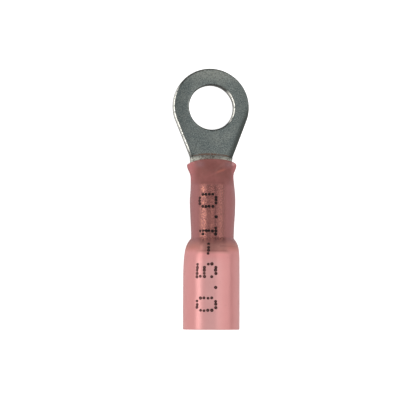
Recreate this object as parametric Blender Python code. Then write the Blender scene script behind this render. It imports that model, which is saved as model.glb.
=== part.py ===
# Ring terminal with a heat-shrink sleeve, in metres.
#
# It lies on its back: the stud axis is along Z, the seam of the barrel faces +Z, the ring is
# towards +Y and the wire enters from -Y. Distances along the terminal are counted from the
# centre of the stud hole towards the wire end, and heights from the axis of the barrel.
#
# The terminal body is made as the real one is: a flat blank is stamped, its edges are rounded,
# and then it is formed, with a step down from the tongue into a trough and a barrel rolled up
# until its edges meet along the seam.

import math

import bmesh
import bpy
from mathutils import Vector

MM = 0.001

# Terminal body
STRIP = 0.8 * MM
RING_DIAMETER = 8.3 * MM
STUD_HOLE_DIAMETER = 4.95 * MM
TONGUE_LENGTH = 5.12 * MM
TONGUE_END_WIDTH = 4.6 * MM
TONGUE_STEP = 0.7 * MM
STEP_LENGTH = 1.65 * MM
BEND_ARCH = 0.35 * MM
TROUGH_LENGTH = 3.33 * MM
TROUGH_STRIP_WIDTH = 4.45 * MM
ROLL_UP_LENGTH = 2.0 * MM
WING_FILLET = 0.85 * MM
WING_CORNER = 0.3 * MM
BARREL_DIAMETER = 3.5 * MM
BARREL_LENGTH = 6.8 * MM
SEAM_GAP = 0.1 * MM
EDGE_ROUND = 0.09 * MM

# Insulating sleeve
SLEEVE_FIT = 0.1 * MM
SLEEVE_BORE = 4.4 * MM
TAIL_WALL = 0.8 * MM
RIM_WALL = 0.22 * MM
WAIST_WALL = 0.45 * MM
BELLY_WALL = 0.58 * MM
NAPE_WALL = 0.43 * MM
RIM_ROOM = 0.12 * MM
RIM_SETBACK = 0.83 * MM
RIM_SWEEP = 0.4 * MM
RIM_TOP_DIP = 0.4 * MM
RIM_SQUARENESS = 2.7
WAIST_LENGTH = 1.8 * MM
BELLY_LENGTH = 2.6 * MM
NAPE_LENGTH = 3.95 * MM
SHOULDER_LENGTH = 4.6 * MM
SHOULDER_FIRMNESS = 6.2
SLEEVE_OVERHANG = 8.7 * MM
SLEEVE_EDGE_ROUND = 0.12 * MM

# How finely the curves are divided
RING_CELLS = 36
TAPER_CELLS = 4
BEND_CELLS = 8
ARC_CELLS = 4
STRIP_COLUMNS = 36
TROUGH_ROWS = 16
SLEEVE_CELLS = 44
SPAN_ROWS = 4
SHOULDER_ROWS = 9

# What follows from the sizes above
BARREL_RADIUS = BARREL_DIAMETER / 2
ROLL_RADIUS = BARREL_RADIUS - STRIP / 2
WING = math.pi * ROLL_RADIUS - SEAM_GAP / 2
BARREL_MOUTH = TONGUE_LENGTH + TROUGH_LENGTH
BARREL_END = BARREL_MOUTH + BARREL_LENGTH
SLEEVE_RIM = TONGUE_LENGTH + RIM_SETBACK
SLEEVE_END = BARREL_END + SLEEVE_OVERHANG
TAIL_RADIUS = SLEEVE_BORE / 2 + TAIL_WALL
TONGUE_HEIGHT = TONGUE_STEP - ROLL_RADIUS


def clear_scene():
    for obj in list(bpy.data.objects):
        bpy.data.objects.remove(obj, do_unlink=True)


def clamp(value, low=0.0, high=1.0):
    return min(max(value, low), high)


def smooth(t):
    """Eases from 0 to 1 with no slope at either end."""
    t = clamp(t)
    return t * t * (3 - 2 * t)


def along(low, high, t):
    return low + (high - low) * t


def bulged(value, power):
    """A sine or cosine that makes a squarer oval where the power is under 1."""
    return math.copysign(abs(value) ** power, value)


def place(x, distance, height):
    """A point in the part's frame, whose origin is under the middle of the whole terminal."""
    middle = (SLEEVE_END - RING_DIAMETER / 2) / 2
    return Vector((x, middle - distance, height + TAIL_RADIUS))


def make_material(name, color, roughness, metallic, alpha=1.0):
    material = bpy.data.materials.new(name)
    material.use_nodes = True
    shader = material.node_tree.nodes["Principled BSDF"]
    shader.inputs["Base Color"].default_value = (*color, 1.0)
    shader.inputs["Roughness"].default_value = roughness
    shader.inputs["Metallic"].default_value = metallic
    shader.inputs["Alpha"].default_value = alpha
    return material


def make_object(name, bm, material):
    """Turns the closed mesh into an object whose round faces are shaded smooth."""
    bmesh.ops.recalc_face_normals(bm, faces=bm.faces)
    mesh = bpy.data.meshes.new(name)
    bm.to_mesh(mesh)
    bm.free()
    mesh.materials.append(material)
    mesh.shade_smooth()
    obj = bpy.data.objects.new(name, mesh)
    bpy.context.collection.objects.link(obj)
    return obj


def arc(centre, radius, start, end, cells):
    """Points (u, s) on an arc of the blank, without its first point. Angles are in degrees."""
    points = []
    for i in range(1, cells + 1):
        angle = math.radians(along(start, end, i / cells))
        points.append((centre[0] + radius * math.cos(angle), centre[1] + radius * math.sin(angle)))
    return points


def bend_distance(u):
    """Distance of the arched bend from the stud's axis, at u from the centre line."""
    return TONGUE_LENGTH + BEND_ARCH * clamp((2 * u / TONGUE_END_WIDTH) ** 2)


def tongue_outline():
    """The right half of the ring and the tongue, from the tip to the bend, as (u, s)."""
    radius = RING_DIAMETER / 2
    corner = (TONGUE_END_WIDTH / 2, bend_distance(TONGUE_END_WIDTH / 2))
    touch = math.atan2(corner[1], corner[0]) - math.acos(radius / math.hypot(*corner))
    points = [(0.0, -radius)] + arc((0, 0), radius, -90, math.degrees(touch), RING_CELLS // 2)
    taper_start = points[-1]
    for i in range(1, TAPER_CELLS + 1):
        t = i / TAPER_CELLS
        points.append((along(taper_start[0], corner[0], t), along(taper_start[1], corner[1], t)))
    return points


def wing_outline():
    """The right half of the strip past the bend, to the middle of the wire end, as (u, s)."""
    side = TROUGH_STRIP_WIDTH / 2
    hollow = (side + WING_FILLET, BARREL_MOUTH - WING_FILLET)
    near = (WING - WING_CORNER, BARREL_MOUTH + WING_CORNER)
    far = (WING - WING_CORNER, BARREL_END - WING_CORNER)
    points = [(side, BARREL_MOUTH - WING_FILLET)]
    points += arc(hollow, WING_FILLET, 180, 90, ARC_CELLS)
    points += [(WING - WING_CORNER, BARREL_MOUTH)]
    points += arc(near, WING_CORNER, -90, 0, ARC_CELLS)
    points += [(WING, BARREL_END - WING_CORNER)]
    points += arc(far, WING_CORNER, 0, 90, ARC_CELLS)
    return points + [(0.0, BARREL_END)]


def mirrored(points):
    return [(-u, s) for u, s in reversed(points)]


def stamp_blank():
    """The flat blank, centred on its thickness, with X across it and Y along it."""
    bm = bmesh.new()
    tongue = tongue_outline()
    wings = wing_outline()
    bend = []
    for i in range(1, BEND_CELLS):
        u = TONGUE_END_WIDTH * (i / BEND_CELLS - 0.5)
        bend.append((u, bend_distance(u)))
    corners = {}

    def corner(point):
        key = tuple(round(value / MM, 6) for value in point)
        if key not in corners:
            corners[key] = bm.verts.new((*point, -STRIP / 2))
        return corners[key]

    ring = mirrored(tongue)[:-1] + tongue + bend[::-1]
    hole = []
    for u, s in ring:
        share = STUD_HOLE_DIAMETER / 2 / math.hypot(u, s)
        hole.append((u * share, s * share))
    for i in range(len(ring)):
        j = (i + 1) % len(ring)
        bm.faces.new([corner(point) for point in (ring[i], ring[j], hole[j], hole[i])])
    rolled = [tongue[-1]] + wings + mirrored(wings)[1:] + [mirrored(tongue)[0]] + bend
    bm.faces.new([corner(point) for point in rolled])
    raised = bmesh.ops.extrude_face_region(bm, geom=bm.faces[:], use_keep_orig=True)["geom"]
    bmesh.ops.translate(bm, vec=(0, 0, STRIP), verts=[v for v in raised if isinstance(v, bmesh.types.BMVert)])
    bmesh.ops.recalc_face_normals(bm, faces=bm.faces)
    return bm


def round_blank_edges(bm):
    """Rounds the edges that the punch leaves, round the outline and round the hole."""
    sharp = []
    for edge in bm.edges:
        level = abs(edge.verts[0].co.z - edge.verts[1].co.z) < STRIP / 100
        if level and edge.calc_face_angle(0) > math.radians(60):
            sharp.append(edge)
    bmesh.ops.bevel(
        bm, geom=sharp, offset=EDGE_ROUND, segments=2, profile=0.5, affect="EDGES", clamp_overlap=False
    )


def cut_past_bend(bm, point, normal):
    faces = [face for face in bm.faces if face.calc_center_median().y > TONGUE_LENGTH]
    edges = {edge for face in faces for edge in face.edges}
    verts = {vert for face in faces for vert in face.verts}
    bmesh.ops.bisect_plane(
        bm, geom=[*faces, *edges, *verts], dist=STRIP / 1e4, plane_co=point, plane_no=normal
    )


def roll_curvature(distance):
    """The strip is flat at the bend and has the barrel's roll before the barrel's mouth."""
    t = clamp((distance - TONGUE_LENGTH) / ROLL_UP_LENGTH)
    return math.sin(math.pi / 2 * t) ** 2 / ROLL_RADIUS


def floor_height(distance):
    """Height of the strip's middle layer on the centre line, from the tongue down the step."""
    return along(TONGUE_HEIGHT, -ROLL_RADIUS, smooth((distance - TONGUE_LENGTH) / STEP_LENGTH))


def formed(u, s):
    """Where a point of the blank's middle layer lies once the strip is formed.

    The bend is arched: the sides of the strip start to bend a little further on.
    """
    distance = s - bend_distance(u) + TONGUE_LENGTH
    curvature = roll_curvature(distance)
    turn = u * curvature
    if abs(turn) < 1e-9:
        return place(u, s, floor_height(distance))
    lift = (1 - math.cos(turn)) / curvature
    return place(math.sin(turn) / curvature, s, floor_height(distance) + lift)


def form_blank(bm):
    """Bends and rolls the blank, keeping its thickness along the formed surface's normal."""
    step = STRIP / 1000
    for vert in bm.verts:
        u, s, off = vert.co
        across = formed(u + step, s) - formed(u - step, s)
        back = formed(u, s - step) - formed(u, s + step)
        normal = across.cross(back).normalized()
        vert.co = formed(u, s) + normal * off


def make_terminal_body():
    bm = stamp_blank()
    round_blank_edges(bm)
    for i in range(1, STRIP_COLUMNS):
        cut_past_bend(bm, (along(-WING, WING, i / STRIP_COLUMNS), 0, 0), (1, 0, 0))
    for i in range(1, TROUGH_ROWS + 1):
        cut_past_bend(bm, (0, TONGUE_LENGTH + TROUGH_LENGTH * i / TROUGH_ROWS, 0), (0, 1, 0))
    form_blank(bm)
    tin = make_material("tin plating", (0.40, 0.41, 0.40), 0.42, 0.9)
    obj = make_object("terminal_body", bm, tin)
    obj.modifiers.new("flat faces shaded flat", "WEIGHTED_NORMAL")
    return obj


def sleeve_stations():
    """Places along the sleeve: distance, half width, half height and wall, from rim to end."""
    grip = BARREL_RADIUS + SLEEVE_FIT
    rim_width = TONGUE_END_WIDTH / 2 + RIM_ROOM + RIM_WALL
    nape = grip + NAPE_WALL
    spans = [
        (0.0, rim_width, grip + RIM_WALL, RIM_WALL),
        (WAIST_LENGTH, grip + WAIST_WALL, grip + WAIST_WALL, WAIST_WALL),
        (BELLY_LENGTH, grip + BELLY_WALL, grip + BELLY_WALL, BELLY_WALL),
        (NAPE_LENGTH, nape, nape, NAPE_WALL),
    ]
    start = SLEEVE_RIM
    stations = [(start, *spans[0][1:])]
    for near, far in zip(spans, spans[1:]):
        for i in range(1, SPAN_ROWS + 1):
            t = i / SPAN_ROWS
            sizes = [along(a, b, smooth(t)) for a, b in zip(near[1:], far[1:])]
            stations.append((start + far[0] * t, *sizes))
        start += far[0]
    for i in range(1, SHOULDER_ROWS + 1):
        t = (i / SHOULDER_ROWS) ** 1.5
        opened = (1 - math.exp(-SHOULDER_FIRMNESS * t)) / (1 - math.exp(-SHOULDER_FIRMNESS))
        radius = along(nape, TAIL_RADIUS, opened)
        stations.append((start + SHOULDER_LENGTH * t, radius, radius, along(NAPE_WALL, TAIL_WALL, opened)))
    return stations + [(SLEEVE_END, TAIL_RADIUS, TAIL_RADIUS, TAIL_WALL)]


def sleeve_loop(bm, station, inset):
    """One oval of the sleeve. At the rim its top dips and its sides sweep back."""
    distance, half_width, half_height, wall = station
    rim = smooth((SLEEVE_RIM + WAIST_LENGTH - distance) / WAIST_LENGTH)
    power = 2 / along(2, RIM_SQUARENESS, rim)
    loop = []
    for i in range(SLEEVE_CELLS):
        angle = 2 * math.pi * i / SLEEVE_CELLS
        dip = RIM_TOP_DIP * rim if math.sin(angle) > 0 else 0.0
        x = (half_width - inset * wall) * bulged(math.cos(angle), power)
        height = (half_height - dip - inset * wall) * bulged(math.sin(angle), power)
        sweep = RIM_SWEEP * rim * math.cos(angle) ** 2
        loop.append(bm.verts.new(place(x, distance + sweep, height)))
    return loop


def make_insulating_sleeve():
    bm = bmesh.new()
    stations = sleeve_stations()
    outer = [sleeve_loop(bm, station, 0) for station in stations]
    inner = [sleeve_loop(bm, station, 1) for station in stations]
    loops = outer + inner[::-1]
    for near, far in zip(loops, loops[1:] + loops[:1]):
        for i in range(SLEEVE_CELLS):
            j = (i + 1) % SLEEVE_CELLS
            bm.faces.new((near[i], far[i], far[j], near[j]))
    plastic = make_material("pink heat-shrink", (0.72, 0.30, 0.29), 0.38, 0.0, 0.75)
    obj = make_object("insulating_sleeve", bm, plastic)
    bevel = obj.modifiers.new("rounded ends", "BEVEL")
    bevel.width = SLEEVE_EDGE_ROUND
    bevel.segments = 2
    bevel.limit_method = "ANGLE"
    bevel.angle_limit = math.radians(50)
    return obj


clear_scene()
make_terminal_body()
make_insulating_sleeve()
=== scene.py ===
import math

import bmesh
import bpy
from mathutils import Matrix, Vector


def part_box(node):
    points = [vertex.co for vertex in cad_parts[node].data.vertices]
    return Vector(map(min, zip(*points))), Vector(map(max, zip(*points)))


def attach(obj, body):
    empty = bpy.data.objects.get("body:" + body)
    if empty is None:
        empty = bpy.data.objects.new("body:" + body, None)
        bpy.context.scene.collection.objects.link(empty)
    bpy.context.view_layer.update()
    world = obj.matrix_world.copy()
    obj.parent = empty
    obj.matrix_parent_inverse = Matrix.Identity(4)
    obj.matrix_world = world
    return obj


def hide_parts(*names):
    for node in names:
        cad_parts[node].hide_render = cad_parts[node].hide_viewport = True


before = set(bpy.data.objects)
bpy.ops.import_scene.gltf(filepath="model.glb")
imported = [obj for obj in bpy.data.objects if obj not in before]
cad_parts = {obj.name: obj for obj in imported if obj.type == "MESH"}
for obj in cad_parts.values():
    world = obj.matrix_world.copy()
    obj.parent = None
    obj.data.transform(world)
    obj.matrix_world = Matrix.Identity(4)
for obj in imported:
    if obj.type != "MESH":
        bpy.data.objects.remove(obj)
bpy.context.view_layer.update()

mm = 0.001
axisHeight = (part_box("insulating_sleeve")[0][2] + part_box("insulating_sleeve")[1][2]) / 2
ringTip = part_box("terminal_body")[1][1]


def clamp(value):
    return min(max(value, 0.0), 1.0)


def smooth(t):  # eases from 0 to 1
    t = clamp(t)
    return t * t * (3 - 2 * t)


def along(low, high, t):
    return low + (high - low) * t


# Node trees. Python's operators on a Wire add Math nodes to its tree.

class Wire:
    def __init__(self, recipe, socket):
        self.recipe = recipe
        self.socket = socket

    def maths(self, operation, *others):
        return self.recipe.maths(operation, self, *others)

    def __add__(self, other):
        return self.maths("ADD", other)

    def __radd__(self, other):
        return self.recipe.maths("ADD", other, self)

    def __sub__(self, other):
        return self.maths("SUBTRACT", other)

    def __rsub__(self, other):
        return self.recipe.maths("SUBTRACT", other, self)

    def __mul__(self, other):
        return self.maths("MULTIPLY", other)

    def __rmul__(self, other):
        return self.recipe.maths("MULTIPLY", other, self)

    def __truediv__(self, other):
        return self.maths("DIVIDE", other)

    def __rtruediv__(self, other):
        return self.recipe.maths("DIVIDE", other, self)

    def __pow__(self, other):
        return self.maths("POWER", other)

    def __abs__(self):
        return self.maths("ABSOLUTE")

    def __gt__(self, other):
        return self.maths("GREATER_THAN", other)

    def __lt__(self, other):
        return self.maths("LESS_THAN", other)


class Recipe:
    def __init__(self, tree, spans=()):
        self.tree = tree
        self.spans = dict(spans)
        tree.nodes.clear()

    def find(self, sockets, key):
        if isinstance(key, int):
            return sockets[key]
        return next(socket for socket in sockets if key in (socket.identifier, socket.name))

    def add(self, kind, settings=(), inputs=(), output=0):
        node = self.tree.nodes.new(kind)
        for name, value in dict(settings).items():
            setattr(node, name, value)
        for key, value in dict(inputs).items():
            socket = self.find(node.inputs, key)
            if isinstance(value, Wire):
                self.tree.links.new(value.socket, socket)
            else:
                socket.default_value = value
        if not len(node.outputs):
            return None
        return Wire(self, self.find(node.outputs, output))

    def maths(self, operation, *values):
        return self.add("ShaderNodeMath", {"operation": operation}, dict(enumerate(values)))

    def weighed(self, wires, weights):
        return sum(wire * weight for wire, weight in zip(wires, weights))

    def ease(self, value, low, high):  # 0 up to low, 1 from high on
        inputs = {"Value": value, "From Min": low, "From Max": high}
        return self.add("ShaderNodeMapRange", {"interpolation_type": "SMOOTHSTEP"}, inputs)

    def part(self, value, name):  # its span is where it starts, where it is full and how strong it gets
        low, high, most = self.spans[name]
        return self.ease(value, low, high) * most

    def line(self, value, name):  # its span is its middle, its half width and how strong it gets
        middle, width, most = self.spans[name]
        return self.ease(abs(value - middle), width, 0.0) * most

    def noise(self, place, scale, detail, roughness):
        inputs = {"Vector": place, "Scale": scale, "Detail": detail, "Roughness": roughness}
        return self.add("ShaderNodeTexNoise", {"noise_dimensions": "3D"}, inputs)

    def colour(self, value):
        return value if isinstance(value, Wire) else (*value, 1.0)

    def blend(self, share, first, second):
        inputs = {"Factor_Float": share, "A_Color": self.colour(first), "B_Color": self.colour(second)}
        settings = {"data_type": "RGBA", "clamp_factor": True}
        return self.add("ShaderNodeMix", settings, inputs, "Result_Color")

    def layered(self, colour, layers):  # each layer covers those before it by its share
        for share, cover in layers:
            colour = self.blend(share, colour, cover)
        return colour

    def split(self, vector):
        return [self.add("ShaderNodeSeparateXYZ", (), {0: vector}, axis) for axis in range(3)]

    def join(self, x, y, z):
        return self.add("ShaderNodeCombineXYZ", (), {0: x, 1: y, 2: z})


def newMaterial(name, spans=()):
    material = bpy.data.materials.new(name)
    material.use_nodes = True
    return material, Recipe(material.node_tree, spans)


def newObject(name, data, material=None):
    obj = bpy.data.objects.new(name, data)
    bpy.context.collection.objects.link(obj)
    if material:
        data.materials.append(material)
    return obj


# The terminal: a strip is stamped, rounded at its edges, then bent and rolled. Its lengths are in mm.
# A point of the flat strip lies u across it, s along it from the ring's centre, and off is its height
# above the strip's middle layer.

terminal = {
    "strip": 0.8,
    "ring": 8.3,
    "hole": 4.85,
    "holeOffset": (0.015, 0.08),
    "tongue": 5.12,
    "tongueEnd": 4.6,
    "step": 0.7,
    "stepLength": 1.65,
    "bendArch": 0.35,
    "trough": 3.33,
    "troughStrip": 4.45,
    "rollUp": 2.0,
    "wingFillet": 0.85,
    "wingCorner": 0.3,
    "barrel": 3.5,
    "barrelLength": 6.8,
    "seam": 0.1,
    "edgeRound": 0.09,
    "edgeCells": 3,
    "topRound": 0.22,
    "topCells": 6,
    "sharp": 60.0,
    "near": 0.01,
    "tongueLean": 0.05,
    "tongueLeanFrom": 1.0,
    "lean": 0.105,
    "leanFrom": 1.4,
    "leanLength": 3.0,
    "ringCells": 120,
    "taperCells": 12,
    "bendCells": 24,
    "arcCells": 10,
    "columns": 96,
    "rows": 40,
}
half = terminal["strip"] / 2
barrelRadius = terminal["barrel"] / 2
rollRadius = barrelRadius - half
wing = math.pi * rollRadius - terminal["seam"] / 2
barrelMouth = terminal["tongue"] + terminal["trough"]
barrelEnd = barrelMouth + terminal["barrelLength"]
tongueHeight = terminal["step"] - rollRadius


def place(x, distance, height):  # from mm across, along and above the terminal's axis to the frame
    return Vector((x * mm, ringTip - (terminal["ring"] / 2 + distance) * mm, axisHeight + height * mm))


def arc(centre, radius, start, end, cells):
    points = []
    for i in range(1, cells + 1):
        angle = math.radians(along(start, end, i / cells))
        points.append((centre[0] + radius * math.cos(angle), centre[1] + radius * math.sin(angle)))
    return points


def bendDistance(u):  # the bend is arched: the strip's sides start to bend a little further on
    return terminal["tongue"] + terminal["bendArch"] * clamp((2 * u / terminal["tongueEnd"]) ** 2)


def tongueOutline():
    radius = terminal["ring"] / 2
    corner = (terminal["tongueEnd"] / 2, bendDistance(terminal["tongueEnd"] / 2))
    touch = math.atan2(corner[1], corner[0]) - math.acos(radius / math.hypot(*corner))
    points = [(0.0, -radius)]
    points += arc((0, 0), radius, -90, math.degrees(touch), terminal["ringCells"] // 2)
    start = points[-1]
    for i in range(1, terminal["taperCells"] + 1):
        t = i / terminal["taperCells"]
        points.append((along(start[0], corner[0], t), along(start[1], corner[1], t)))
    return points


def wingOutline():
    side = terminal["troughStrip"] / 2
    fillet = terminal["wingFillet"]
    corner = terminal["wingCorner"]
    cells = terminal["arcCells"]
    points = [(side, barrelMouth - fillet)]
    points += arc((side + fillet, barrelMouth - fillet), fillet, 180, 90, cells)
    points += [(wing - corner, barrelMouth)]
    points += arc((wing - corner, barrelMouth + corner), corner, -90, 0, cells)
    points += [(wing, barrelEnd - corner)]
    points += arc((wing - corner, barrelEnd - corner), corner, 0, 90, cells)
    return points + [(0.0, barrelEnd)]


def mirrored(points):
    return [(-u, s) for u, s in reversed(points)]


def stampBlank():
    bm = bmesh.new()
    tongue = tongueOutline()
    wings = wingOutline()
    cells = terminal["bendCells"]
    bend = []
    for i in range(1, cells):
        u = terminal["tongueEnd"] * (i / cells - 0.5)
        bend.append((u, bendDistance(u)))
    corners = {}

    def corner(point):
        key = tuple(round(value, 6) for value in point)
        if key not in corners:
            corners[key] = bm.verts.new((*point, -half))
        return corners[key]

    ring = mirrored(tongue)[:-1] + tongue + bend[::-1]
    centre = terminal["holeOffset"]
    hole = []
    for u, s in ring:
        share = terminal["hole"] / 2 / math.hypot(u - centre[0], s - centre[1])
        hole.append((along(centre[0], u, share), along(centre[1], s, share)))
    for i in range(len(ring)):
        j = (i + 1) % len(ring)
        bm.faces.new([corner(point) for point in (ring[i], ring[j], hole[j], hole[i])])
    rolled = [tongue[-1]] + wings + mirrored(wings)[1:] + [mirrored(tongue)[0]] + bend
    bm.faces.new([corner(point) for point in rolled])
    raised = bmesh.ops.extrude_face_region(bm, geom=bm.faces[:], use_keep_orig=True)["geom"]
    top = [v for v in raised if isinstance(v, bmesh.types.BMVert)]
    bmesh.ops.translate(bm, vec=(0, 0, terminal["strip"]), verts=top)
    bmesh.ops.recalc_face_normals(bm, faces=bm.faces)
    return bm


def roundBlankEdges(bm, side, offset, cells):  # side is 1 for the upper edges, -1 for the lower
    sharp = []
    for edge in bm.edges:
        level = min(vert.co.z * side for vert in edge.verts) > half - terminal["near"]
        if level and edge.calc_face_angle(0) > math.radians(terminal["sharp"]):
            sharp.append(edge)
    bmesh.ops.bevel(
        bm, geom=sharp, offset=offset, segments=cells, profile=0.5, affect="EDGES", clamp_overlap=False
    )


def cutBlank(bm, point, normal, start):  # cuts only what lies beyond the bend and the last cut
    faces = []
    for face in bm.faces:
        middle = face.calc_center_median()
        if middle.y > terminal["tongue"] and middle.dot(normal) > start:
            faces.append(face)
    edges = {edge for face in faces for edge in face.edges}
    verts = {vert for face in faces for vert in face.verts}
    bmesh.ops.bisect_plane(bm, geom=[*faces, *edges, *verts], dist=1e-4, plane_co=point, plane_no=normal)


def cutEvenly(bm, normal, low, high, cells, cuts):
    last = low
    for i in range(1, cuts + 1):
        at = along(low, high, i / cells)
        cutBlank(bm, normal * at, normal, last)
        last = at


def rollCurvature(distance):  # flat at the bend, the barrel's roll before its mouth
    t = clamp((distance - terminal["tongue"]) / terminal["rollUp"])
    return math.sin(math.pi / 2 * t) ** 2 / rollRadius


def floorHeight(distance):  # steps down from the tongue to the barrel's floor
    t = smooth((distance - terminal["tongue"]) / terminal["stepLength"])
    return along(tongueHeight, -rollRadius, t)


def leaned(s, distance):  # how far it leans to the side there
    tongueStart = terminal["tongueLeanFrom"]
    tongueShare = smooth((s - tongueStart) / (terminal["tongue"] - tongueStart))
    share = smooth((distance - terminal["tongue"] - terminal["leanFrom"]) / terminal["leanLength"])
    return terminal["tongueLean"] * tongueShare + (terminal["lean"] - terminal["tongueLean"]) * share


def formed(u, s):  # where a point of the strip's middle layer ends up
    distance = s - bendDistance(u) + terminal["tongue"]
    curvature = rollCurvature(distance)
    lean = leaned(s, distance)
    turn = u * curvature
    if abs(turn) < 1e-9:
        return Vector((u + lean, s, floorHeight(distance)))
    lift = (1 - math.cos(turn)) / curvature
    return Vector((math.sin(turn) / curvature + lean, s, floorHeight(distance) + lift))


def formBlank(bm):
    blank = bm.verts.layers.float_vector.new("blank")  # each point's place on the flat strip
    step = 0.001
    facing = {}
    for vert in bm.verts:
        u, s, off = vert.co
        vert[blank] = vert.co
        acrossStep = formed(u + step, s) - formed(u - step, s)
        alongStep = formed(u, s + step) - formed(u, s - step)
        normal = acrossStep.cross(alongStep).normalized()
        if abs(off) > half - 1e-5:
            facing[vert] = Vector((normal.x, -normal.y, normal.z)) * math.copysign(1, off)
        vert.co = place(*(formed(u, s) + normal * off))
    return facing


def makeTerminal(material):
    bm = stampBlank()
    roundBlankEdges(bm, 1, terminal["topRound"], terminal["topCells"])
    roundBlankEdges(bm, -1, terminal["edgeRound"], terminal["edgeCells"])
    columns, rows = terminal["columns"], terminal["rows"]
    cutEvenly(bm, Vector((1, 0, 0)), -wing, wing, columns, columns - 1)
    cutEvenly(bm, Vector((0, 1, 0)), terminal["tongue"], barrelMouth, rows, rows)
    facing = formBlank(bm)
    bmesh.ops.recalc_face_normals(bm, faces=bm.faces)
    normals = [facing.get(vert, vert.normal).copy() for vert in bm.verts]
    mesh = bpy.data.meshes.new("terminalStrip")
    bm.to_mesh(mesh)
    bm.free()
    mesh.shade_smooth()
    mesh.normals_split_custom_set_from_vertices(normals)  # flat faces look flat up to their edges
    return newObject("terminalStrip", mesh, material)


tin = {
    "face": (0.118, 0.139, 0.135),
    "warm": (0.29, 0.30, 0.262),
    "dull": (0.055, 0.068, 0.066),
    "glint": (0.30, 0.33, 0.32),
    "copper": (0.13, 0.075, 0.052),
    "bend": (0.52, 0.53, 0.46),
    "bendDark": (0.20, 0.19, 0.16),
    "edge": (0.035, 0.040, 0.036),
    "bright": (0.74, 0.73, 0.67),
    "speckAndShade": (0.048, 0.044, 0.036),
    "barrel": (0.32, 0.20, 0.17),
    "barrelGlint": (1.0, 0.74, 0.58),
    "rollShade": (0.09, 0.05, 0.045),
    "metallic": 0.95,
    "bendMetallic": -0.55,
    "roughness": 0.30,
    "grainRoughness": 0.15,
    "bendRoughness": 0.1,
    "reliefStrength": 0.45,
    "relief": 0.03,
    "barrelRelief": 1.2,
    "reliefMix": (0.6, 0.4),
    "mottleMix": (0.6, 0.4),
    "wearMix": (1.0, 0.5),
    "edgeSlant": 0.42,
    "edgeTurn": 1.0,
    "litFrom": 0.8,
    "litBelow": -0.45,
    "litHoleLeft": 0.13,
    "litHoleRight": -0.15,
    "litSoftness": 0.2,
    "slopeShade": 0.9,
    "wallShade": 0.12,
    "wallLit": 0.78,
    "noise": {  # scale, detail and roughness
        "cloud": (700.0, 3.0, 0.6),
        "grain": (8000.0, 3.0, 0.8),
        "pits": (6500.0, 2.0, 0.7),
    },
    "spans": {
        "warmCloud": (0.35, 0.75, 0.35),
        "sheenAndTarnishTip": (-0.26 * terminal["ring"], -0.45 * terminal["ring"], 0.65),
        "dullPits": (0.42, 0.64, 0.68),
        "glints": (0.48, 0.66, 0.7),
        "pastBend": (terminal["tongue"] + 0.05, terminal["tongue"] + 0.4, 1.0),
        "bendMottle": (0.48, 0.58, 1.0),
        "rolled": (barrelMouth - 0.4, barrelMouth, 1.0),
        "barrelGlints": (0.46, 0.6, 1.0),
        "rollLine": (0.65 - wing, 0.28, 0.6),
        "rollEdge": (wing - 0.5, wing - 0.1, 0.6),
        "wornLine": (terminal["tongue"] + 0.05, 0.14, 1.0),
        "wornPatches": (0.6, 0.8, 1.0),
        "outer": (1.8, 3.6, 0.28),
        "rightEdge": (3.25, 4.0, 0.85),
        "rightEdgeFrom": (-2.0, 0.5, 1.0),
        "corner": (1.85, 2.2, 0.85),
        "cornerLine": (terminal["tongue"] + 0.35, 0.4, 1.0),
        "slope": (half, half - terminal["topRound"] * 0.6, 1.0),
        "rounding": (half, half - 0.02, 1.0),
        "inside": (terminal["hole"] / 2 + 0.45, terminal["hole"] / 2 + 0.25, 1.0),
        "below": (-0.3, 0.8, 1.0),
        "wall": (half - terminal["edgeRound"] * 0.6, half - terminal["edgeRound"] * 1.8, 1.0),
        "shadedLow": (half * 0.1, half * -0.2, 1.0),
        "speckles": (0.55, 0.63, 1.0),
    },
}


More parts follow.
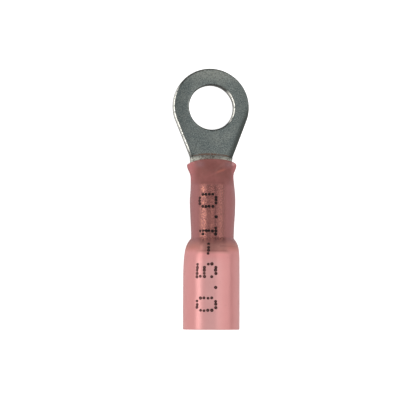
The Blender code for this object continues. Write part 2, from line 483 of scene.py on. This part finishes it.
def tinPlate():
    material, recipe = newMaterial("tinPlate", tin["spans"])
    part, line = recipe.part, recipe.line
    blank = recipe.add("ShaderNodeAttribute", {"attribute_name": "blank"}, (), "Vector")
    spot = recipe.add("ShaderNodeTexCoord", (), (), "Object")
    u, s, off = recipe.split(blank)
    cloud, grain, pits = [recipe.noise(spot, *values) for values in tin["noise"].values()]

    bend = s - terminal["bendArch"] * (u * u) * (4 / terminal["tongueEnd"] ** 2)
    past = part(bend, "pastBend")
    flat = 1 - past
    mottle = part(recipe.weighed((pits, cloud), tin["mottleMix"]), "bendMottle")
    rolled = part(s, "rolled")
    rollShadeBands = (line(u, "rollLine") + part(u, "rollEdge")) * rolled
    worn = line(bend, "wornLine") * part(recipe.weighed((pits, cloud), tin["wearMix"]), "wornPatches")
    rightEdge = part(u + (s - tin["edgeTurn"]) * tin["edgeSlant"], "rightEdge")
    rightEdge = rightEdge * part(s, "rightEdgeFrom") * flat  # painted shade along the tongue's right edge
    # painted shade at the tongue's corners by the bend
    corner = part(abs(u), "corner") * line(s, "cornerLine")

    fromCentre = (u * u + s * s) ** 0.5
    inside = part(fromCentre, "inside")  # 1 on the hole's wall
    start = tin["litFrom"] + tin["litBelow"] * part(s, "below") * (1 - inside)
    start = start + (u < 0.0) * inside * tin["litHoleLeft"] + (u > 0.0) * inside * tin["litHoleRight"]
    slant = abs(u) / fromCentre
    sideways = recipe.ease(slant, start, start + tin["litSoftness"])  # 1 on the left and right walls
    lit = sideways * (1 - (u > 0.0) * (1 - inside))  # the edges that face a lamp
    speckles = part(pits, "speckles")
    speckledAndShaded = speckles.maths("MAXIMUM", part(off, "shadedLow"))  # dark speckles, and painted shade on the wall's lower part

    colour = recipe.layered(tin["face"], [
        (part(cloud, "warmCloud"), tin["warm"]),
        # painted reflection: warmer and lighter towards the ring's top, with a warm tint
        (part(s, "sheenAndTarnishTip"), tin["warm"]),
        (part(pits, "dullPits"), tin["dull"]),
        (part(grain, "glints"), tin["glint"]),
        # past the bend the tin is painted lighter and mottled: a painted reflection of the slope
        (past, recipe.blend(mottle, tin["bend"], tin["bendDark"])),
        (rolled, recipe.blend(part(grain, "barrelGlints"), tin["barrel"], tin["barrelGlint"])),
        (rollShadeBands, tin["rollShade"]),  # painted shade: dark reflection bands by the seam
        (worn, tin["copper"]),
        # painted shade: darker towards the ring's left and right sides
        (part(abs(u), "outer"), tin["dull"]),
        (rightEdge, tin["edge"]),
        (corner, tin["edge"]),
        # painted shade on the rounded top edges that face away from the lamps
        (part(off, "slope") * (1 - lit) * flat * tin["slopeShade"], tin["speckAndShade"]),
        # painted highlights on the rounded top edges and the walls that face a lamp
        (part(off, "rounding") * lit * flat * (1 - speckles), tin["bright"]),
        (
            part(abs(off), "wall") * (tin["wallShade"] + sideways * tin["wallLit"]),
            recipe.blend(speckledAndShaded, tin["bright"], tin["speckAndShade"]),
        ),
    ])
    relief = recipe.weighed((grain, pits), tin["reliefMix"]) * (1 + rolled * tin["barrelRelief"])
    normal = recipe.add(
        "ShaderNodeBump",
        (),
        {"Strength": tin["reliefStrength"], "Distance": tin["relief"] * mm, "Height": relief},
    )
    roughness = grain * tin["grainRoughness"] + tin["roughness"] + tin["bendRoughness"] * past
    shader = recipe.add(
        "ShaderNodeBsdfPrincipled",
        (),
        {
            "Base Color": colour,
            "Metallic": tin["metallic"] + tin["bendMetallic"] * past * (1 - rolled),
            "Roughness": roughness,
            "Normal": normal,
        },
    )
    recipe.add("ShaderNodeOutputMaterial", (), {"Surface": shader})
    return material


# The sleeve: a tube of shrink plastic, lofted by Geometry Nodes. Its lengths are in mm.

sleeve = {
    "room": 0.1,
    "rimRoom": 0.12,
    "setback": 0.83,
    "overhang": 8.7,
    "weld": 0.0001,
    "endRound": 0.12,
    "endCells": 3,
    "endAngle": 50.0,
    "loft": {
        "bore": 4.4,
        "tailWall": 0.8,
        "rimWall": 0.22,
        "waistWall": 0.45,
        "bellyWall": 0.58,
        "napeWall": 0.43,
        "sweep": 0.4,
        "topDip": 0.4,
        "squareness": 2.7,
        "waist": 1.8,
        "belly": 2.6,
        "nape": 3.95,
        "shoulder": 4.6,
        "firmness": 6.2,
        "ripple": 0.03,
        "rippleAround": 1.3,
        "rippleAlong": 0.7,
        "leanFrom": 0.6,
        "leanFull": 3.6,
        "leanUntil": 7.4,
        "leanGone": 12.0,
        "around": 144,
        "rows": 180,
        "seed": 4,
    },
}
sleeveRim = terminal["tongue"] + sleeve["setback"]
sleeveEnd = barrelEnd + sleeve["overhang"]
tailRadius = sleeve["loft"]["bore"] / 2 + sleeve["loft"]["tailWall"]


def newGeometryTree(name, sizes):
    tree = bpy.data.node_groups.new(name, "GeometryNodeTree")
    tree.interface.new_socket("Geometry", in_out="INPUT", socket_type="NodeSocketGeometry")
    tree.interface.new_socket("Geometry", in_out="OUTPUT", socket_type="NodeSocketGeometry")
    kinds = {int: "NodeSocketInt", float: "NodeSocketFloat"}
    identifiers = {}
    for size, value in sizes.items():
        socket = tree.interface.new_socket(size, in_out="INPUT", socket_type=kinds[type(value)])
        identifiers[size] = socket.identifier
    recipe = Recipe(tree)
    outputs = recipe.add("NodeGroupInput").socket.node.outputs
    wires = {size: Wire(recipe, recipe.find(outputs, size)) for size in ("Geometry", *sizes)}
    return recipe, wires, identifiers


def runGeometryTree(obj, recipe, sizes, identifiers, name):
    modifier = obj.modifiers.new(name, "NODES")
    modifier.node_group = recipe.tree
    for size, value in sizes.items():
        modifier[identifiers[size]] = value
    bpy.context.view_layer.update()
    evaluated = obj.evaluated_get(bpy.context.evaluated_depsgraph_get())
    mesh = bpy.data.meshes.new_from_object(evaluated)
    mesh.name = name
    obj.modifiers.remove(modifier)
    obj.data = mesh
    obj.name = name
    return obj


def makeSleeve(material):
    sizes = {
        **sleeve["loft"],
        "grip": barrelRadius + sleeve["room"],
        "lean": terminal["lean"],
        "rimHalf": terminal["tongueEnd"] / 2 + sleeve["rimRoom"] + sleeve["loft"]["rimWall"],
        "length": sleeveEnd - sleeveRim,
    }
    recipe, size, identifiers = newGeometryTree("sleeveLoft", sizes)
    rows = size["rows"]
    grid = recipe.add(
        "GeometryNodeMeshGrid",
        (),
        {"Size X": 1.0, "Size Y": 1.0, "Vertices X": size["around"] + 1, "Vertices Y": rows * 2 + 1},
        "Mesh",
    )
    x, y = recipe.split(recipe.add("GeometryNodeInputPosition"))[:2]
    angle = (x + 0.5) * math.tau
    row = ((y + 0.5) * rows * 2).maths("ROUND")
    back = (row > rows - 0.5) * (row < rows * 2 - 0.5)  # 1 on the way back along the bore
    turn = row.maths("MODULO", rows * 2)
    share = (turn * (1 - back) + (rows * 2 - 1 - turn) * back) / (rows - 1)
    distance = share * size["length"]

    napeStart = size["waist"] + size["belly"]
    waisted = recipe.ease(distance, 0.0, size["waist"])
    bellied = recipe.ease(distance, size["waist"], napeStart)
    naped = recipe.ease(distance, napeStart, napeStart + size["nape"])
    past = (distance - napeStart - size["nape"]) / size["shoulder"]
    past = past.maths("MINIMUM", 1.0).maths("MAXIMUM", 0.0)
    opened = 1 - (past * size["firmness"] * -1).maths("EXPONENT")
    opened = opened / (1 - (size["firmness"] * -1).maths("EXPONENT"))
    wall = size["rimWall"] + (size["waistWall"] - size["rimWall"]) * waisted
    wall = wall + (size["bellyWall"] - size["waistWall"]) * bellied
    wall = wall + (size["napeWall"] - size["bellyWall"]) * naped
    radius = size["grip"] + wall
    radius = radius + (size["bore"] / 2 + size["tailWall"] - radius) * opened
    wall = wall + (size["tailWall"] - wall) * opened
    rim = 1 - waisted

    power = 2 / (2 + (size["squareness"] - 2) * rim)
    across = angle.maths("COSINE")
    upward = angle.maths("SINE")

    def bulged(value):
        return value.maths("SIGN") * (abs(value) ** power)

    tall = radius - size["topDip"] * rim * (upward > 0.0) - wall * back
    wide = radius + (size["rimHalf"] - size["grip"] - size["rimWall"]) * rim - wall * back
    stretch = size["rippleAround"]
    spot = recipe.join(across * stretch, distance * size["rippleAlong"], upward * stretch + size["seed"])
    swell = (recipe.noise(spot, 1.0, 1.0, 0.5) - 0.5) * size["ripple"] * (1 - back)
    leaning = recipe.ease(distance, size["leanFrom"], size["leanFull"])
    leaning = leaning * (1 - recipe.ease(distance, size["leanUntil"], size["leanGone"]))
    swept = distance + sleeveRim + terminal["ring"] / 2 + size["sweep"] * rim * across * across
    lofted = recipe.join(
        (wide + swell) * bulged(across) * mm + leaning * size["lean"] * mm,
        swept * -mm + ringTip,
        (tall + swell) * bulged(upward) * mm + axisHeight,
    )
    marked = recipe.add(
        "GeometryNodeStoreNamedAttribute",
        {"data_type": "FLOAT", "domain": "POINT"},
        {"Geometry": grid, "Name": "bore", "Value": back},
    )
    loft = recipe.add("GeometryNodeSetPosition", (), {"Geometry": marked, "Position": lofted})
    weld = {"Geometry": loft, "Distance": sleeve["weld"] * mm}
    closed = recipe.add("GeometryNodeMergeByDistance", (), weld)
    shaded = recipe.add("GeometryNodeSetShadeSmooth", (), {"Geometry": closed})
    whole = recipe.add("GeometryNodeRealizeInstances", (), {"Geometry": shaded})
    done = recipe.add("GeometryNodeSetMaterial", (), {"Geometry": whole, "Material": material})
    recipe.add("NodeGroupOutput", (), {0: done})

    obj = newObject("sleeveStart", bpy.data.meshes.new("sleeveStart"))
    obj = runGeometryTree(obj, recipe, sizes, identifiers, "shrinkSleeve")
    bm = bmesh.new()
    bm.from_mesh(obj.data)
    bmesh.ops.recalc_face_normals(bm, faces=bm.faces)
    bm.to_mesh(obj.data)
    bm.free()
    bevel = obj.modifiers.new("rounded ends", "BEVEL")
    bevel.width = sleeve["endRound"] * mm
    bevel.segments = sleeve["endCells"]
    bevel.limit_method = "ANGLE"
    bevel.angle_limit = math.radians(sleeve["endAngle"])
    return obj


plastic = {
    "tail": (0.73, 0.312, 0.304),
    "tailTop": (0.72, 0.39, 0.38),
    "barrel": (0.46, 0.195, 0.182),
    "flank": (0.345, 0.139, 0.139),
    "glint": (0.98, 0.42, 0.31),
    "shoulder": (0.40, 0.185, 0.160),
    "line": (0.20, 0.080, 0.075),
    "neck": (0.25, 0.088, 0.080),
    "neckEdge": (0.53, 0.188, 0.192),
    "haze": (0.30, 0.165, 0.185),
    "warmSide": (0.55, 0.205, 0.172),
    "streak": (0.60, 0.17, 0.11),
    "deep": (0.46, 0.185, 0.18),
    "tint": (0.95, 0.80, 0.80),
    "shine": (1.0, 0.52, 0.45),
    "deepCloud": 0.25,
    "creaseSlant": 0.45,
    "streakSlant": 0.386,
    "flankShift": 0.25,
    "rightFrom": 0.4,
    "neckClear": 0.15,
    "dryClear": 0.52,
    "wetClear": 0.64,
    "boreClear": 0.97,
    "tailClear": 0.07,
    "fadingMilk": 0.75,
    "shoneMilk": 0.6,
    "barrelMetallic": 0.38,
    "tailMetallic": 0.15,
    "roughness": 0.25,
    "fineRoughness": 0.1,
    "looseRoughness": 0.35,
    "wetRoughness": 0.2,
    "reliefStrength": 0.15,
    "relief": 0.04,
    "reliefMix": (0.8, 0.2, 4.0),
    "coatRoughness": 0.25,
    "noise": {  # scale, detail and roughness
        "cloud": (700.0, 3.0, 0.55),
        "fine": (4200.0, 2.0, 0.5),
        "fleck": (6000.0, 3.0, 0.7),
        "fold": (900.0, 2.0, 0.6),
    },
    "spans": {
        "held": (barrelMouth + 0.15, barrelMouth + 0.42, 1.0),
        "flankHeld": (barrelMouth - 0.6, barrelMouth + 0.6, 1.0),
        "fading": (barrelEnd - 0.9, barrelEnd + 0.05, 1.0),
        "empty": (barrelEnd + 0.25, barrelEnd + 0.95, 1.0),
        "wet": (0.42, 0.60, 1.0),
        "flank": (1.05, 1.65, 1.0),
        "neckEdge": (1.6, 2.6, 1.0),
        "folds": (0.46, 0.66, 0.12),
        "crease": (7.55, 0.2, 0.15),
        "creaseFrom": (-1.6, -0.9, 1.0),
        "haze": (sleeveRim + 0.6, 0.55, 0.55),
        "hazeSides": (1.55, 0.75, 1.0),
        "streak": (7.5, 0.22, 0.45),
        "streakFrom": (-0.2, 0.5, 1.0),
        "streakUntil": (1.3, 0.8, 1.0),
        "mouthLine": (barrelMouth + 0.1, 0.16, 0.35),
        "leftBand": (-1.22, 0.52, 0.9),
        "rightBand": (0.62, 0.5, 0.405),
        "middleBand": (-0.39, 0.2, 0.36),
        "flecks": (0.46, 0.58, 1.0),
        "beside": (0.9, 2.0, 1.0),
        "besideFrom": (barrelEnd - 0.7, barrelEnd + 0.5, 1.0),
        "tailSide": (barrelEnd, barrelEnd + 0.8, 1.0),
        "paled": (-0.6, 1.9, 0.85),
        "paledFrom": (barrelEnd + 0.8, barrelEnd + 2, 1.0),
        "leftLine": (barrelEnd + 0.5, 0.16, 0.5),
        "rightLine": (barrelEnd - 0.02, 0.1, 0.5),
        "coat": (barrelEnd + 0.3, barrelEnd + 2.2, 0.38),
    },
}


def measured(recipe):  # a place, and in mm how far it is across the terminal and along it
    spot = recipe.add("ShaderNodeTexCoord", (), (), "Object")
    x, y = recipe.split(spot)[:2]
    return spot, x / mm, (ringTip - y) / mm - terminal["ring"] / 2


def shrinkPlastic():
    material, recipe = newMaterial("shrinkPlastic", plastic["spans"])
    part, line = recipe.part, recipe.line
    spot, across, distance = measured(recipe)
    bore = recipe.add("ShaderNodeAttribute", {"attribute_name": "bore"}, (), "Fac")
    cloud, fine, fleck, fold = [recipe.noise(spot, *values) for values in plastic["noise"].values()]

    held = part(distance, "held")  # 1 from the barrel's mouth on
    fading = part(distance, "fading")  # the wall thickens over the barrel's end
    empty = part(distance, "empty")  # 1 past the barrel
    shrunk = held * (1 - empty)
    wet = part(fleck, "wet")  # where the plastic clings to the barrel
    fromMiddle = abs(across + plastic["flankShift"])
    flank = part(fromMiddle, "flank")  # milkier along the sides, and painted darker there as painted shade
    over = 1 - flank
    clung = held * over + part(distance, "flankHeld") * flank

    crease = line(distance + across * plastic["creaseSlant"], "crease") * part(across, "creaseFrom")
    creased = part(fold, "folds").maths("MAXIMUM", crease)
    haze = line(distance, "haze") * line(abs(across), "hazeSides")
    streak = line(distance + across * plastic["streakSlant"], "streak")
    streak = streak * part(across, "streakFrom") * part(across, "streakUntil")
    bands = line(across, "leftBand") + line(across, "rightBand") + line(across, "middleBand")
    shone = bands * shrunk * (1 - fading) * part(fleck, "flecks")  # painted highlights: copper glints in bands
    beside = part(fromMiddle, "beside") * part(distance, "besideFrom")
    paled = line(across, "paled") * part(distance, "paledFrom")
    shadowLines = line(distance, "leftLine") + line(distance, "rightLine") * (across > plastic["rightFrom"])

    colour = recipe.layered(plastic["neck"], [
        (part(abs(across), "neckEdge"), plastic["neckEdge"]),
        (creased, plastic["neckEdge"]),
        (haze, plastic["haze"]),  # the strip's shoulders show through near the mouth
        (streak, plastic["streak"]),  # a painted highlight along a copper edge of the trough under the plastic
        (clung, recipe.blend(flank, plastic["barrel"], plastic["flank"])),
        # painted shade: a dark line at the barrel's mouth
        (line(distance, "mouthLine") * over, plastic["line"]),
        (shone, plastic["glint"]),
        (fading, plastic["shoulder"]),
        (
            empty.maths("MAXIMUM", beside),
            recipe.blend(part(distance, "tailSide"), plastic["warmSide"], plastic["tail"]),
        ),
        # painted light: the tail's top is paler, left of its middle
        (paled, plastic["tailTop"]),
        (shadowLines * (1 - beside), plastic["line"]),  # painted shadow lines where it leaves the barrel
        (cloud * plastic["deepCloud"], recipe.blend(empty, plastic["neck"], plastic["deep"])),
    ])

    clear = (plastic["dryClear"] + (plastic["wetClear"] - plastic["dryClear"]) * wet) * over
    clear = clear * (1 - fading * plastic["fadingMilk"]) * (1 - shone * plastic["shoneMilk"])
    clear = plastic["neckClear"] * (1 - held) + clear * held
    clear = clear * (1 - empty) + plastic["tailClear"] * empty
    boreClear = plastic["boreClear"] + (plastic["tailClear"] - plastic["boreClear"]) * empty
    clear = clear * (1 - bore) + boreClear * bore

    relief = recipe.weighed((cloud, fine, fleck * shrunk), plastic["reliefMix"])
    normal = recipe.add(
        "ShaderNodeBump",
        (),
        {"Strength": plastic["reliefStrength"], "Distance": plastic["relief"] * mm, "Height": relief},
    )
    metallic = plastic["barrelMetallic"] * shrunk * over + plastic["tailMetallic"] * empty
    roughness = fine * plastic["fineRoughness"] + plastic["roughness"]
    roughness = roughness + plastic["looseRoughness"] * (1 - clung)
    roughness = roughness + plastic["wetRoughness"] * wet * shrunk
    body = recipe.add(
        "ShaderNodeBsdfPrincipled",
        (),
        {
            "Base Color": colour,
            "Metallic": metallic,  # the copper shows through as a warm gloss
            "Roughness": roughness,
            "Specular Tint": (*plastic["shine"], 1),
            "Coat Weight": part(distance, "coat"),
            "Coat Roughness": plastic["coatRoughness"],
            "Normal": normal,
        },
    )
    through = recipe.add("ShaderNodeBsdfTransparent", (), {"Color": (*plastic["tint"], 1)})
    shader = recipe.add("ShaderNodeMixShader", (), {0: clear, 1: body, 2: through})
    recipe.add("ShaderNodeOutputMaterial", (), {"Surface": shader})
    return material


# The print: plain numbers in ink dots, laid on the sleeve by Geometry Nodes. Its lengths are in mm.

printing = {
    "words": "0.5-1.0",
    "start": 21.95,
    "angle": -20.5,
    "pitch": 0.32,
    "rise": 0.40,
    "gap": 2.5,
    "bellyRadius": 2.65,
    "widenFrom": -1.0,
    "widenLength": 2.0,
    "above": 5.0,
    "rayLength": 10.0,
    "dots": {
        "wide": 0.315,
        "thick": 0.03,
        "stray": 0.03,
        "spread": 0.12,
        "corners": 14,
        "rings": 3,
        "seed": 7,
    },
    "shapes": {
        "0": (".###.", "#...#", "#...#", "#...#", "#...#", ".###."),
        "1": (".#.", "##.", ".#.", ".#.", ".#.", "###"),
        "5": ("#####", "#....", "####.", "....#", "#...#", ".###."),
        "-": ("....", "....", "....", "####", "....", "...."),
        ".": (".", ".", ".", ".", ".", "#"),
    },
}


def placeDots():  # a point above the sleeve for each dot, with the way down to it
    bm = bmesh.new()
    aim = bm.verts.layers.float_vector.new("aim")
    column = 0.0
    for sign in printing["words"]:
        shape = printing["shapes"][sign]
        middle = (len(shape) - 1) / 2
        for line, marks in enumerate(shape):
            for i, mark in enumerate(marks):
                if mark != "#":
                    continue
                distance = printing["start"] - (column + i) * printing["pitch"]
                widened = (distance - barrelEnd - printing["widenFrom"]) / printing["widenLength"]
                radius = along(printing["bellyRadius"], tailRadius, smooth(widened))
                turn = math.radians(printing["angle"]) + (line - middle) * printing["rise"] / radius
                outward = Vector((math.sin(turn), 0, math.cos(turn)))
                spot = place(0, distance, 0) + outward * printing["above"] * mm
                bm.verts.new(spot)[aim] = -outward
        column += len(shape[0]) + printing["gap"]
    mesh = bpy.data.meshes.new("dotPlaces")
    bm.to_mesh(mesh)
    bm.free()
    return newObject("dotPlaces", mesh)


def makePrint(target, material):
    obj = placeDots()
    recipe, size, identifiers = newGeometryTree("inkDots", printing["dots"])
    sleeveMesh = recipe.add(
        "GeometryNodeObjectInfo", {"transform_space": "ORIGINAL"}, {"Object": target}, "Geometry"
    )
    down = recipe.add("GeometryNodeInputNamedAttribute", {"data_type": "FLOAT_VECTOR"}, {"Name": "aim"})
    reach = printing["rayLength"] * mm
    ray = recipe.add(
        "GeometryNodeRaycast",
        (),
        {"Target Geometry": sleeveMesh, "Ray Direction": down, "Ray Length": reach},
        "Hit Position",
    )
    hitNormal = Wire(recipe, recipe.find(ray.socket.node.outputs, "Hit Normal"))
    strayed = recipe.add(
        "FunctionNodeRandomValue",
        {"data_type": "FLOAT_VECTOR"},
        {"Min": (-1, -1, -1), "Max": (1, 1, 1), "Seed": size["seed"] + 1},
    )
    strayed = recipe.add(
        "ShaderNodeVectorMath", {"operation": "SCALE"}, {0: strayed, "Scale": size["stray"] * mm}
    )
    scattered = recipe.add(
        "GeometryNodeSetPosition", (), {"Geometry": size["Geometry"], "Offset": strayed}
    )
    moved = recipe.add("GeometryNodeSetPosition", (), {"Geometry": scattered, "Position": ray})
    upright = recipe.add("FunctionNodeAlignRotationToVector", {"axis": "Z"}, {"Vector": hitNormal})
    radius = size["wide"] * (mm / 2)
    dot = recipe.add(
        "GeometryNodeMeshCylinder",
        {"fill_type": "TRIANGLE_FAN"},
        {
            "Vertices": size["corners"],
            "Fill Segments": size["rings"],
            "Radius": radius,
            "Depth": size["thick"] * mm,
        },
        "Mesh",
    )
    x, y = recipe.split(recipe.add("GeometryNodeInputPosition"))[:2]
    dot = recipe.add(
        "GeometryNodeStoreNamedAttribute",
        {"data_type": "FLOAT", "domain": "POINT"},
        {"Geometry": dot, "Name": "fromMiddle", "Value": (x * x + y * y) ** 0.5 / radius},
    )
    scale = recipe.add(
        "FunctionNodeRandomValue",
        {"data_type": "FLOAT"},
        {"Min_001": 1 - size["spread"], "Max_001": 1 + size["spread"], "Seed": size["seed"]},
        "Value_001",
    )
    dots = recipe.add(
        "GeometryNodeInstanceOnPoints",
        (),
        {"Points": moved, "Instance": dot, "Rotation": upright, "Scale": scale},
    )
    whole = recipe.add("GeometryNodeRealizeInstances", (), {"Geometry": dots})
    done = recipe.add("GeometryNodeSetMaterial", (), {"Geometry": whole, "Material": material})
    recipe.add("NodeGroupOutput", (), {0: done})
    return runGeometryTree(obj, recipe, printing["dots"], identifiers, "printDots")


ink = {
    "black": (0.004, 0.003, 0.003),
    "thinAndSheen": (0.20, 0.085, 0.078),
    "blotShare": 0.06,
    "onBarrel": 0.05,
    "roughness": 0.45,
    "blotRoughness": 0.2,
    "specular": 0.12,
    "blot": (9000.0, 2.0, 0.5),  # scale, detail and roughness
    "spans": {
        "middle": (0.6, 0.2, 1.0),
        "onTail": (barrelEnd - 0.5, barrelEnd + 1.5, 0.7),
        "sheenLeft": (-0.9, -1.8, 0.3),
    },
}


def inkBlack():
    material, recipe = newMaterial("inkBlack", ink["spans"])
    spot, across, distance = measured(recipe)
    blot = recipe.noise(spot, *ink["blot"])
    fromMiddle = recipe.add("ShaderNodeAttribute", {"attribute_name": "fromMiddle"}, (), "Fac")
    middle = recipe.part(fromMiddle, "middle")  # the ink is thinner in the middle of a dot
    thinAndSheen = middle * (ink["onBarrel"] + recipe.part(distance, "onTail"))
    # painted highlight: the ink is painted lighter towards the left
    thinAndSheen = thinAndSheen + recipe.part(across, "sheenLeft")
    shader = recipe.add(
        "ShaderNodeBsdfPrincipled",
        (),
        {
            "Base Color": recipe.blend(thinAndSheen + blot * ink["blotShare"], ink["black"], ink["thinAndSheen"]),
            "Roughness": blot * ink["blotRoughness"] + ink["roughness"],
            "Specular IOR Level": ink["specular"],
        },
    )
    recipe.add("ShaderNodeOutputMaterial", (), {"Surface": shader})
    return material


# The floor, the lamps and the camera. The studio's lengths are in metres, the camera's in mm.

studio = {
    "floorHalf": 1.5,
    "floor": (0.68, 0.68, 0.68, 1),
    "floorGlow": 0.8,
    "floorShine": 0.12,
    "lampDistance": 0.35,
    "lampLength": 0.6,
    "leftLamp": {"angle": -63.0, "width": 0.14, "glow": 3.75},
    "rightLamp": {"angle": 40.0, "width": 0.40, "glow": 1.4},
    "zenith": 0.43,
    "leftSide": 0.38,
    "rightSide": 0.22,
    "ends": 0.14,
    "wireEnd": 0.6,
    "sideways": (0.15, 0.9),
    "upward": (0.7, 0.97),
    "wireward": (-0.25, -0.75),
}


def makeFloor():
    mesh = bpy.data.meshes.new("floorSheet")
    bm = bmesh.new()
    bmesh.ops.create_grid(bm, x_segments=1, y_segments=1, size=studio["floorHalf"])
    bm.to_mesh(mesh)
    bm.free()
    material, recipe = newMaterial("floorPaper")
    seen, glossy, transmitted = [
        recipe.add("ShaderNodeLightPath", (), (), name)
        for name in ("Is Camera Ray", "Is Glossy Ray", "Is Transmission Ray")
    ]
    paper = recipe.add("ShaderNodeBsdfDiffuse", (), {"Color": studio["floor"]})
    strength = seen * studio["floorGlow"] + (glossy + transmitted) * studio["floorShine"]
    glow = recipe.add("ShaderNodeEmission", (), {"Strength": strength})
    shader = recipe.add("ShaderNodeAddShader", (), {0: paper, 1: glow})
    recipe.add("ShaderNodeOutputMaterial", (), {"Surface": shader})
    floor = newObject("floorSheet", mesh, material)


def makeLamp(name):  # its angle is from straight up, towards +X
    sizes = studio[name]
    angle = math.radians(sizes["angle"])
    offset = Vector((math.sin(angle), 0, math.cos(angle))) * studio["lampDistance"]
    data = bpy.data.lights.new(name, "AREA")
    data.shape = "RECTANGLE"
    data.size = studio["lampLength"]  # along the terminal
    data.size_y = sizes["width"]
    data.energy = sizes["glow"] * math.pi * sizes["width"] * studio["lampLength"]
    facing = (-offset).to_track_quat("-Z", "Y").to_matrix().to_4x4()
    facing.translation = Vector((0, 0, axisHeight)) + offset
    newObject(name, data).matrix_world = facing


def makeWorld():
    world = bpy.data.worlds.new("lightTent")
    bpy.context.scene.world = world
    world.use_nodes = True
    recipe = Recipe(world.node_tree)
    x, y, z = recipe.split(recipe.add("ShaderNodeTexCoord", (), (), "Generated"))
    sideways = recipe.ease(x * x, *studio["sideways"])
    upward = recipe.ease(z, *studio["upward"])
    wireward = recipe.ease(y, *studio["wireward"])
    side = studio["leftSide"] + (studio["rightSide"] - studio["leftSide"]) * (x > 0.0)
    strength = studio["ends"] + (side - studio["ends"]) * sideways
    strength = strength + (studio["wireEnd"] - studio["ends"]) * wireward
    strength = strength * (1 - upward) + studio["zenith"] * upward
    glow = recipe.add("ShaderNodeBackground", (), {"Color": (1, 1, 1, 1), "Strength": strength})
    recipe.add("ShaderNodeOutputWorld", (), {"Surface": glow})


view = {
    "yaw": 10.06,
    "pitch": 5.725,
    "roll": 0.19,
    "distance": 130.0,
    "opening": 19.577,
    "aim": (-0.175, -1.343, 3.0),
    "middle": (0.0, 0.0, 3.0),
    "clip": 5.0,
}


def makeCamera():
    yaw, pitch, roll = (math.radians(view[name]) for name in ("yaw", "pitch", "roll"))
    level = math.cos(pitch)
    offset = Vector((-math.sin(yaw) * level, -math.sin(pitch), math.cos(yaw) * level))
    eye = (Vector(view["middle"]) + offset * view["distance"]) * mm
    forward = (Vector(view["aim"]) * mm - eye).normalized()
    right = forward.cross(Vector((0, 1, 0))).normalized()
    up = right.cross(forward)
    rolledRight = right * math.cos(roll) + up * math.sin(roll)
    rolledUp = up * math.cos(roll) - right * math.sin(roll)
    data = bpy.data.cameras.new("photoCamera")
    data.sensor_fit = "HORIZONTAL"
    data.angle = math.radians(view["opening"])
    data.clip_start = view["clip"] * mm
    camera = newObject("photoCamera", data)
    for row in range(3):
        for column, axis in enumerate((rolledRight, rolledUp, -forward)):
            camera.matrix_world[row][column] = axis[row]
        camera.matrix_world[row][3] = eye[row]
    bpy.context.scene.camera = camera


terminalStrip = makeTerminal(tinPlate())
print("terminal:", len(terminalStrip.data.polygons), "faces")
shrinkSleeve = makeSleeve(shrinkPlastic())
print("sleeve:", len(shrinkSleeve.data.polygons), "faces")
printDots = makePrint(shrinkSleeve, inkBlack())
print("print:", len(printDots.data.polygons), "faces")
for piece in (terminalStrip, shrinkSleeve, printDots):
    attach(piece, "root")
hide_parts("terminal_body")
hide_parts("insulating_sleeve")
print("pieces ride on the frame")

makeFloor()
makeWorld()
makeLamp("leftLamp")
makeLamp("rightLamp")
makeCamera()
bpy.context.scene.view_settings.view_transform = "Standard"
print("floor, lamps and camera are set")
